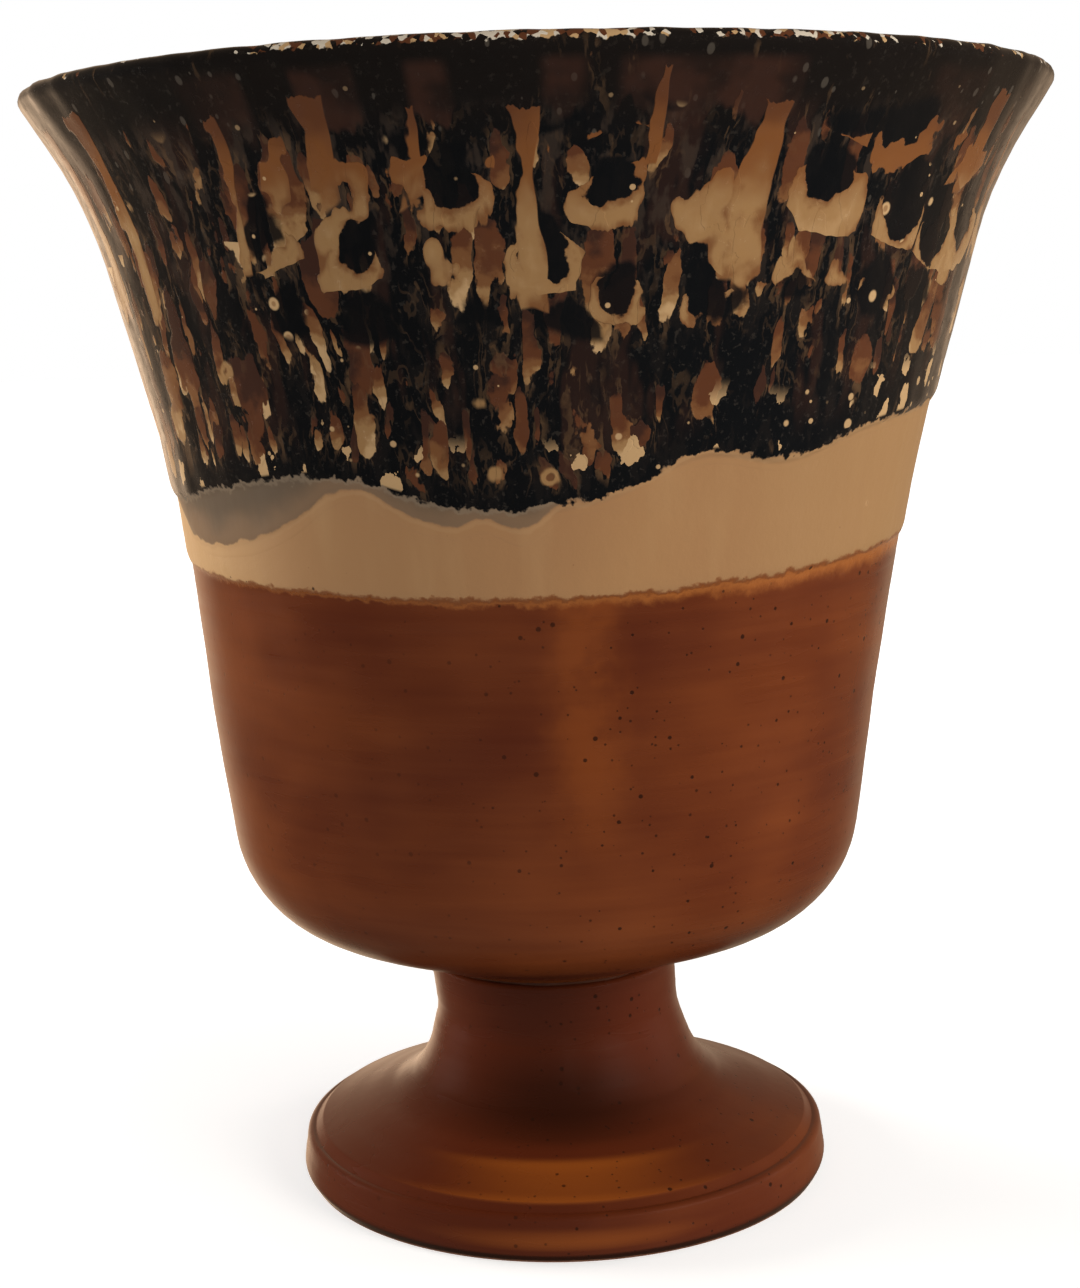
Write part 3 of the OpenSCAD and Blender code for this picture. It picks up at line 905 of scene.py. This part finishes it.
mottled_coat, along = dipped(
    "mottled_coat_dipped", black_s - veil - RAGGED, MOTTLED_INSIDE, mottled_thickness, CREAM_T, MOTTLED_ROWS
)
add_mark(mottled_coat.data, "edge", along - black_s / MM)
add_mark(mottled_coat.data, "veil", along - black_s / MM + veil / MM)
glazed_z = glazed_path[:, 1]
crest_s = glazed_s[np.argmax(glazed_z > glazed_z.max() - CREST_TOLERANCE)]
add_mark(mottled_coat.data, "below_crest", (crest_s - np.interp(along * MM, coat_s, glazed_s)) / MM)

BLACK = (0.0055, 0.0065, 0.008)
BLACK_BROWN = (0.017, 0.0115, 0.0085)
RED_BROWN = (0.05, 0.021, 0.014)
RUST = (0.108, 0.0375, 0.0165)
CARAMEL = (0.188, 0.08, 0.03)
COLUMN_ORANGE = (0.205, 0.076, 0.023)
TAN = (0.318, 0.178, 0.073)
TAN_PALE = (0.5, 0.32, 0.158)
SMOKE = (0.06, 0.05, 0.04)
SMOKY_BROWN = (0.05, 0.034, 0.025)
VEIL_GREY = (0.135, 0.094, 0.06)
VEIL_THIN = (0.22, 0.135, 0.075)
VEIL_LINE = (0.27, 0.2, 0.13)
HAIR_TAN = (0.15, 0.082, 0.038)
CHIP_GLINT_WHITE = (0.62, 0.55, 0.45)

# Upright drops of glaze in a share of long cells: how deep a point lies in its drop, how far down
# it, and a chance of its own for each drop.
drops, drops_in, drops_out = node_group(
    "Drops",
    {"Vector": "Vector", "Wide": "Float", "Long": "Float"},
    {"Level": "Float", "Fall": "Float", "Chance": "Float"},
)
wide, long = over(1.0, drops_in["Wide"]), over(1.0, drops_in["Long"])
per_mm = put(drops, "CombineXYZ", {0: wide, 1: wide, 2: long}).outputs[0]
cell = vectors("MULTIPLY", drops_in["Vector"], per_mm)
cells, chance = cells_in(cell)
size = ramp(chance[1], 0, 1, 0.3, 0.56)
give(
    drops_out,
    Level=minus(1.0, over(cells["Distance"], size)),
    Fall=over(split(vectors("SUBTRACT", cells["Position"], cell))[2], size),
    Chance=chance[0],
)

mottled_glaze, tree, shader = material("mottled_glaze", GLAZE_SHINE)
point, around, height = use(tree, wheel)
top = use(tree, cream)
crumble = noise(around, 0.5, 3, 0.6)
waver = noise(around, 1.6)
above_edge = mark(tree, "edge")
below_crest = mark(tree, "below_crest")
side, front, _ = split(around)


def upright(squeeze, size, detail=2, roughness=0.5, higher=0):
    """Noise round the wall, drawn out upright by a squeeze of its height."""
    start = moved(around, (0, 0, higher)) if higher else around
    return noise(stretched(start, 1, 1, squeeze), size, detail, roughness)


# near-black ground with grey dust and hairlines, browner towards the rim
dust = noise(around, 0.22, 2, 0.6)
hue = tint(ramp(dust, 0.58, 0.72, 0, 0.35), BLACK, SMOKE)
hue = tint(times(ramp(height, 91, 97, 0, 0.5), ramp(side, -30, -16)), hue, BLACK_BROWN)
dash = dotted(stretched(point, 1, 1, 0.45), 1.2, 0.3, 0.5)
hue = tint(times(dash["Mask"], ramp(height, 85, 91)), hue, SMOKE)

# soft dark red patches and a brown haze
patches = times(ramp(upright(0.3, 1.9, 3, 0.6), 0.52, 0.62), ramp(above_edge, 1, 6), ramp(height, 96.5, 93))
hue = tint(times(patches, 0.4), hue, RED_BROWN)
haze = ramp(upright(0.4, 0.7, 3, 0.6, higher=40), 0.5, 0.6)
haze = times(haze, ramp(height, 79, 88, 0.1, 0.6), ramp(height, 96, 93.5))
hue = tint(haze, hue, SMOKY_BROWN)

# drops that ran down the wall, rusty at the top and tan at the tip, with hairlines beside them
HALF = (0.5, 0.5, 0.5)
DROP_TONES = [(RUST, -0.14, 0.06), (CARAMEL, 0.2, 0.36), (TAN, 0.4, 0.54), (TAN_PALE, 0.6, 0.78)]
swirl = vectors("SUBTRACT", noise(stretched(around, 1, 1, 0.4), 3.125, 2, output="Color"), HALF)
ripple = vectors("SUBTRACT", noise(stretched(around, 1, 1, 0.5), 0.625, 3, output="Color"), HALF)
bent = moved(around, stretched(swirl, 6, 6, 3))
bent = moved(bent, stretched(ripple, 1.5, 1.5, 1.5))
hair = noise(stretched(bent, 1, 1, 0.14), 0.3, 2, 0.6)
run_end = plus(above_edge, ramp(side, 4, 18, 0, -3.2))
run_zone = least(ramp(run_end, 0.3, 3.0), ramp(height, 97, 91))
out_of_zone = times(plus(run_zone, -1.0), 0.9)
more_left = times(ramp(side, -28, -10, 0.45, 0.0), ramp(height, 90, 82, -0.3, 1))
more_right = ramp(side, 8, 26, 0, -0.02)
drop_level = 0.0
for wide, long, share in ((1.6, 6.0, 0.64), (2.6, 10.0, 0.72)):
    run = use(tree, drops, {"Vector": bent, "Wide": wide, "Long": long})
    level = plus(run["Level"], centred(crumble, 0.38), out_of_zone)
    chosen = less(run["Chance"], plus(share, more_left, more_right))
    shown = times(ramp(level, 0.03, 0.1), chosen)
    beside = times(ramp(level, -0.5, -0.05), ramp(hair, 0.52, 0.6), chosen)
    ripe = plus(times(run["Fall"], 0.45), times(run["Chance"], 0.75), -0.1)
    ripe = plus(ripe, centred(waver, 0.9), centred(crumble, 0.35))
    tone = graded(ripe, RED_BROWN, *DROP_TONES)
    hue = tint(times(beside, 0.35), hue, HAIR_TAN)
    hue = tint(shown, hue, tone)
    drop_level = most(drop_level, shown)

# thin grey and tan veins that wander down between the drops
vein = maths("ABSOLUTE", centred(noise(stretched(bent, 1, 1, 0.35), 0.8), 1.0))
veins = times(ramp(vein, 0.03, 0.012), ramp(noise(around, 2.2), 0.45, 0.6), run_zone)
hue = tint(times(veins, 0.2), hue, HAIR_TAN)

# smoky fringe that hangs from the lip
fringe = ramp(plus(height, centred(upright(0.12, 0.8), 7.0), -93.8), 0.0, 0.6)
fringe = times(fringe, ramp(upright(0.05, 3.0, 1), 0.53, 0.6), ramp(waver, 0.35, 0.6, 0.35, 1))
fringe = times(fringe, ramp(side, -24, -14), ramp(side, 28, 16, 0.3, 1), ramp(below_crest, 1.8, 3.0))
hue = tint(times(fringe, 0.8), hue, RED_BROWN)

# pools in the upper third: black bubbles, each with a tan swag hung under it, tan blobs between
# them, and columns that ran down from the rim, orange at their tops. Bubbles and blobs fade out
# at the back, where the flat map of bubbles joins up.
BUBBLE_GAP, BUBBLE_TALL, BUBBLE_RISE, BUBBLE_SHIFT = 6.3, 1.2, 1.5, 46.0
UNBLOWN, NO_POOL = 9.0, 5.0
COLUMNS, FIRST_COLUMN = 31, 8
COLUMN_GAP = 2 * math.pi * STREAK_R / COLUMNS
turn = maths("ARCTAN2", side, times(front, -1))
swing = upright(0.35, 4.5)
shake = upright(0.5, 0.9, 2, 0.6)
swell = upright(0.7, 2.2)
drip = upright(0.15, 0.45, 2, 0.6)
at_turn = plus(times(turn, STREAK_R), centred(swing, 6.0), centred(shake, 1.2))
at_height = plus(height, centred(waver, 2.0), -BUBBLE_RISE)
wall_x = times(plus(at_turn, BUBBLE_SHIFT), 1 / BUBBLE_GAP)
wall_y = times(at_height, 1 / (BUBBLE_GAP * BUBBLE_TALL))
wall = put(tree, "CombineXYZ", {0: wall_x, 1: wall_y}).outputs[0]
bubble, lot = cells_in(wall, uneven=0.8, voronoi_dimensions="2D")
below = split(vectors("SUBTRACT", bubble["Position"], wall))[1]
below = over(below, plus(bubble["Distance"], 0.02))
blown = more(lot[1], 0.14)
off = plus(times(bubble["Distance"], BUBBLE_GAP), ramp(lot[0], 0, 1, -1.1, -2.4))
off = plus(off, times(minus(1.0, blown), UNBLOWN))
off = plus(off, centred(noise(moved(around, (0, 0, 55)), 1.3), 2.6), centred(crumble, 0.7))
joined = ramp(maths("ABSOLUTE", turn), 3.1, 2.95)
pool_top = ramp(plus(height, centred(swing, 7.0)), 97, 92)
pool_end = ramp(plus(height, centred(upright(0.4, 5.0), 9.0)), 78, 82)
pool_zone = times(pool_top, pool_end, ramp(side, -27, -15, 0.3, 1), joined)
hang = times(ramp(lot[2], 0, 1, 1.5, 3.6), plus(0.15, times(below, 0.85)))
swag_level = plus(hang, centred(swell, 2.6), centred(drip, 1.8), times(off, -1))
blob = upright(0.75, 2.4, 2, 0.45, higher=70)
blob_level = plus(times(plus(blob, -0.58), 14.0), centred(drip, 1.2))
swag_level = least(most(swag_level, blob_level), off)
swag_level = plus(swag_level, times(plus(pool_zone, -1.0), NO_POOL))

number = times(at_turn, 1 / COLUMN_GAP)
nearest = maths("ROUND", number)
to_column = times(maths("ABSOLUTE", minus(number, nearest)), COLUMN_GAP)
which = maths("FLOORED_MODULO", plus(nearest, FIRST_COLUMN), COLUMNS)
column_lot = put(tree, "TexWhiteNoise", {"W": which}, noise_dimensions="1D").outputs["Color"]
column_lot = split(column_lot, "Color")
column_level = plus(ramp(column_lot[0], 0.1, 0.95, -0.4, 1.3), times(to_column, -1))
column_level = plus(column_level, centred(shake, 1.2), centred(swell, 1.5))
column_top = plus(ramp(column_lot[1], 0, 1, 94.5, 98.0), times(height, -1), centred(drip, 2.0))
column_end = plus(height, centred(swell, 8.0), ramp(column_lot[2], 0, 1, -91, -80))
column_ends = least(times(column_top, 1.2), times(column_end, 0.3))
column_level = least(column_level, column_ends)

hollow = times(blown, ramp(off, 0.6, 0.0), ramp(pool_zone, 0.3, 0.6))
hue = tint(times(hollow, 0.95), hue, BLACK)
seeds = dotted(moved(around, (0, 0, 25)), 2.0, 0.55, 0.6)
hue = tint(times(seeds["Mask"], hollow), hue, TAN_PALE)
hue = tint(times(seeds["Middle"], hollow, 0.6), hue, CARAMEL)
pool_level = most(swag_level, column_level)
pools = ramp(pool_level, 0.0, 0.12)
ripe = plus(pool_level, centred(waver, 2.4), centred(crumble, 0.8))
pool_tone = graded(ripe, CARAMEL, (TAN, -0.2, 0.6), (TAN_PALE, 0.7, 1.8, 0, 0.35))
orange = plus(height, centred(waver, 5.0))
pool_tone = graded(orange, pool_tone, (COLUMN_ORANGE, 87.5, 91.5), (RUST, 92.0, 95.5, 0, 0.85))
hue = tint(pools, hue, pool_tone)

# burst bubbles, crumbs near the lower edge and fine pale flecks
big = dotted(moved(around, stretched(ripple, 0.9, 0.9, 0.9)), 5.0, 0.85, 0.22)
burst = ramp(height, 95, 93)
hue = tint(times(big["Mask"], burst), hue, TAN)
hue = tint(times(big["Middle"], burst, 0.8), hue, RUST)
CRUMB_GAP = 2.4
crushed = stretched(moved(around, stretched(ripple, 2.0, 2.0, 2.0)), 0.9, 1.1, 0.7)
crumb, crumb_lot = cells_in(crushed, 1 / CRUMB_GAP)
crumb_off = plus(crumb["Distance"], centred(crumble, 0.4))
crumbs = less(crumb_off, ramp(crumb_lot[1], 0, 1, 0.14, 0.38))
crumbs = times(crumbs, less(crumb_lot[0], 0.62))
hue = tint(times(crumbs, ramp(above_edge, 6.0, 3.5), ramp(above_edge, 0.2, 0.5)), hue, TAN_PALE)
near_edge = times(ramp(above_edge, 6.5, 3.5), ramp(above_edge, 0.3, 0.8), ramp(side, 0, 12, 0.4, 1))
flecks = dotted(point, 1.7, plus(0.24, times(near_edge, 0.2)), plus(0.15, times(near_edge, 0.5)))
hue = tint(times(flecks["Mask"], ramp(height, 97, 90, 0.3, 0.9)), hue, TAN_PALE)

# the crest of the lip, where the glaze runs thin and breaks to small chips of orange and tan,
# with white chips among them as painted glints of light
CHIP_GAP = 0.5
stretch = ramp(noise(moved(around, (11, 0, 0)), 6), 0.36, 0.56)
stretch = times(stretch, ramp(side, -24, -12), ramp(side, 26, 12, 0.2, 1.0))
_, chip_lot = cells_in(point, 1 / CHIP_GAP)
crest = plus(below_crest, centred(noise(point, 0.4, 2, 0.6), 1.2))
crest = times(ramp(crest, 1.0, 0.9), ramp(crest, -0.9, -0.7))
chips_and_glints = times(crest, less(chip_lot[0], plus(0.05, times(stretch, 0.72))))
chip_and_glint_tone = tint(more(chip_lot[1], 0.35), RUST, TAN_PALE)
# white chips: painted glints of light on the crest
chip_and_glint_tone = tint(more(chip_lot[1], 0.6), chip_and_glint_tone, CHIP_GLINT_WHITE)
hue = tint(chips_and_glints, hue, chip_and_glint_tone)

# lower edge: ragged, then a grey veil, then the cream that shows from under it, with a painted
# highlight along the veil's lower rim
edge = plus(above_edge, centred(crumble, 2.1), centred(waver, 1.2))
veil_edge = plus(mark(tree, "veil"), centred(waver, 1.6), centred(crumble, 0.5))
veil_depth = plus(veil_edge, centred(noise(around, 2.4), 3.0))
veil_tone = tint(ramp(veil_depth, 0.5, 3.5), VEIL_THIN, VEIL_GREY)
# painted highlight: a pale line of cream just under the veil's lower rim
veil_rim_highlight = times(ramp(veil_edge, -0.5, -0.25), ramp(veil_edge, 0.05, -0.15), 0.35)
lower = tint(veil_rim_highlight, top["Color"], CREAM_PALE)
lower = tint(ramp(veil_edge, 0.0, 0.25), lower, veil_tone)
lower = tint(times(ramp(edge, -0.55, -0.2), ramp(veil_edge, 0.3, 0.6), 0.5), lower, VEIL_LINE)
hue = tint(ramp(edge, -0.1, 0.12), lower, hue)
glassy = ramp(edge, -0.2, 0.3)
roughness = blend(glassy, top["Roughness"], ramp(crumble, 0.3, 0.8, 0.16, 0.3))
bumps = plus(times(pools, 0.8), times(drop_level, 0.6), times(crumble, 0.35))
bumps = plus(bumps, times(big["Middle"], burst, -1.0))
finish(tree, shader, hue, roughness, blend(glassy, top["Height"], bumps), GLAZE_RELIEF)
mottled_coat.data.materials.append(mottled_glaze)
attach(mottled_coat, "root")
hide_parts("mottled_coat")


# Stage. A pale paper floor that glows by itself as painted light, less near the cup so that the
# cup's shadow shows, a soft light from the right in front, a low strip in front and a fill at each
# side. The room in front of the cup is dark, so that the glaze stays deep, and the camera is close
# to the cup, level with the upper half of the bowl and tipped down at it.

FLOOR_HALF, FLOOR_GAP = 2.5, 0.02 * MM
PAPER, PAPER_SHINE = (0.84, 0.86, 0.885), 0.1
FOCAL_PX, FRAME_H_PX, SENSOR_MM = 2150, 1288, 36
CAMERA_AT = (-0.7 * MM, -198.1 * MM, 81.3 * MM)
CAMERA_PITCH, CAMERA_ROLL = math.radians(9.02), math.radians(1.52)
CUP_MIDDLE = (0, 0, 55 * MM)

paper_mesh = bpy.data.meshes.new("paper_floor")
corners = [(x * FLOOR_HALF, y * FLOOR_HALF, -FLOOR_GAP) for x, y in ((-1, -1), (1, -1), (1, 1), (-1, 1))]
paper_mesh.from_pydata(corners, [], [(0, 1, 2, 3)])
paper_floor = stood("paper_floor", paper_mesh)
paper, tree, shader = material("paper", PAPER_SHINE)
on_floor = put(tree, "TexCoord").outputs["Object"]
fibre = noise(on_floor, 0.004, 3, 0.6)
tree.links.new(tint(fibre, [0.98 * c for c in PAPER], PAPER), shader.inputs["Base Color"])
shader.inputs["Roughness"].default_value = 0.9
away = put(tree, "VectorMath", {0: on_floor}, operation="LENGTH").outputs["Value"]
# painted light: the paper glows, half as bright beside the cup as further out
painted_glow = ramp(away, 0.03, 0.25, 0.5, 1.0)
tree.links.new(tint(painted_glow, (0, 0, 0), (1, 1, 1)), shader.inputs["Emission Color"])
shader.inputs["Emission Strength"].default_value = 1.0
paper_mesh.materials.append(paper)
paper_floor.visible_glossy = False
paper_floor.visible_diffuse = False


def soft_light(name, place, size, power, color):
    lamp = bpy.data.lights.new(name, "AREA")
    lamp.shape, lamp.size, lamp.size_y = "RECTANGLE", *size
    lamp.energy, lamp.color = power, color
    holder = stood(name, lamp)
    holder.location = place
    holder.visible_glossy = False
    holder.rotation_euler = (Vector(CUP_MIDDLE) - Vector(place)).to_track_quat("-Z", "Y").to_euler()


soft_light("key", (0.55, -0.45, 0.3), (0.4, 0.4), 3.3, (1, 0.92, 0.82))
soft_light("strip", (0.10, -0.62, 0.2), (0.06, 0.3), 0.58, (1, 0.9, 0.76))
soft_light("left fill", (-0.65, 0.22, 0.14), (0.4, 0.4), 6.0, (1, 0.93, 0.84))
soft_light("right fill", (0.68, 0.12, 0.14), (0.4, 0.4), 2.5, (1, 0.93, 0.84))

world = bpy.data.worlds.new("studio")
bpy.context.scene.world = world
world.use_nodes = True
tree = world.node_tree
sky = tree.nodes["Background"]
way = split(put(tree, "TexCoord").outputs["Generated"])
ray = put(tree, "LightPath").outputs
room = times(ramp(way[2], -0.25, 0.25, 0.8, 0.28), ramp(way[1], -0.8, 0.5, 0.65, 1.15))
behind = ramp(way[1], 0.65, 0.95, 0.0, 0.45)
behind = times(behind, ramp(way[0], -0.25, 0.05, 3.2, 1.0), ramp(way[2], -0.05, 0.12, 1.0, 0.3))
mirrored = plus(ramp(way[1], -0.35, 0.7, 0.03, 0.16), behind)
strength = blend(ray["Is Glossy Ray"], room, mirrored)
strength = most(strength, ray["Is Camera Ray"])
tree.links.new(strength, sky.inputs["Strength"])
tree.links.new(tint(ray["Is Glossy Ray"], (1, 1, 1), (1, 0.7, 0.46)), sky.inputs["Color"])

camera = bpy.data.cameras.new("camera")
camera.sensor_fit, camera.sensor_height = "VERTICAL", SENSOR_MM
camera.lens = SENSOR_MM * FOCAL_PX / FRAME_H_PX
camera.clip_start = 0.01
eye = stood("camera", camera)
eye.matrix_world = (
    Matrix.Translation(CAMERA_AT)
    @ Matrix.Rotation(math.pi / 2 - CAMERA_PITCH, 4, "X")
    @ Matrix.Rotation(-CAMERA_ROLL, 4, "Z")
)
bpy.context.scene.camera = eye
bpy.context.scene.view_settings.view_transform = "Standard"
